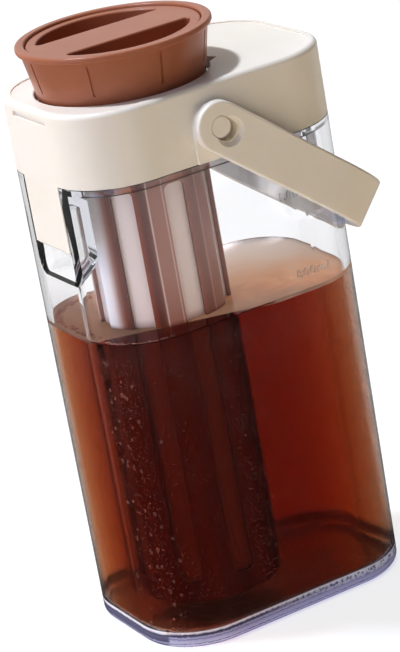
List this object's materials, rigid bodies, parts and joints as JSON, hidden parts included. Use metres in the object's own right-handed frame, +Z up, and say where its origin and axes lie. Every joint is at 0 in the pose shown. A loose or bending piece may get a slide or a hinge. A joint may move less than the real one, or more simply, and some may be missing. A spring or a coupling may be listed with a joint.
{
  "type": "cold brew coffee maker",
  "caption": "Clear rectangular jug with a cream latch lid, a swinging bail handle and a brown lift-out filter closed by a grip cap.",
  "frame": {"origin": "centre of the jug's flat base", "axes": "+Z up, +X along the jug's long side, away from the filter, -Y towards the front face"},
  "size_m": [0.1199, 0.0856, 0.2173],
  "materials": {
    "clear_plastic": "clear polished copolyester",
    "cream_plastic": "satin moulded ABS",
    "brown_plastic": "satin moulded polypropylene",
    "brown_translucent": "smooth translucent polypropylene",
    "filter_net": "fine woven nylon net",
    "silicone": "matte silicone"
  },
  "bodies": {
    "jug": {"container": "clear_plastic"},
    "lid": {"lid_shell": "cream_plastic", "lid_liner": "clear_plastic", "lid_gasket": "silicone", "front_pivot_pin": "cream_plastic", "rear_pivot_pin": "cream_plastic"},
    "handle": {"handle": "cream_plastic"},
    "collar_seal": {"collar_gasket": "silicone"},
    "filter": {"filter_collar": "brown_plastic", "filter_cage": "brown_translucent", "filter_mesh": "filter_net"},
    "cap_seal": {"cap_gasket": "silicone"},
    "cap": {"grip_cap": "brown_plastic"}
  },
  "joints": [
    {"name": "lid_lift", "type": "slide", "parent": "jug", "child": "lid", "axis": [0, 0, 1], "range_m": [0, 0.2]},
    {"name": "handle_swing", "type": "hinge", "parent": "lid", "child": "handle", "pos_m": [-0.0028, 0, 0.1855], "axis": [0, -1, 0], "range_deg": [0, 262]},
    {"name": "filter_lift", "type": "slide", "parent": "lid", "child": "collar_seal", "axis": [0, 0, 1], "range_m": [0, 0.2]},
    {"name": "filter_turn", "type": "hinge", "parent": "collar_seal", "child": "filter", "pos_m": [-0.01525, 0, 0.1977], "axis": [0, 0, 1], "range_deg": [0, 45]},
    {"name": "cap_lift", "type": "slide", "parent": "filter", "child": "cap_seal", "axis": [0, 0, 1], "range_m": [0, 0.1]},
    {"name": "cap_turn", "type": "hinge", "parent": "cap_seal", "child": "cap", "pos_m": [-0.01525, 0, 0.2089], "axis": [0, 0, 1], "range_deg": [0, 60]}
  ]
}
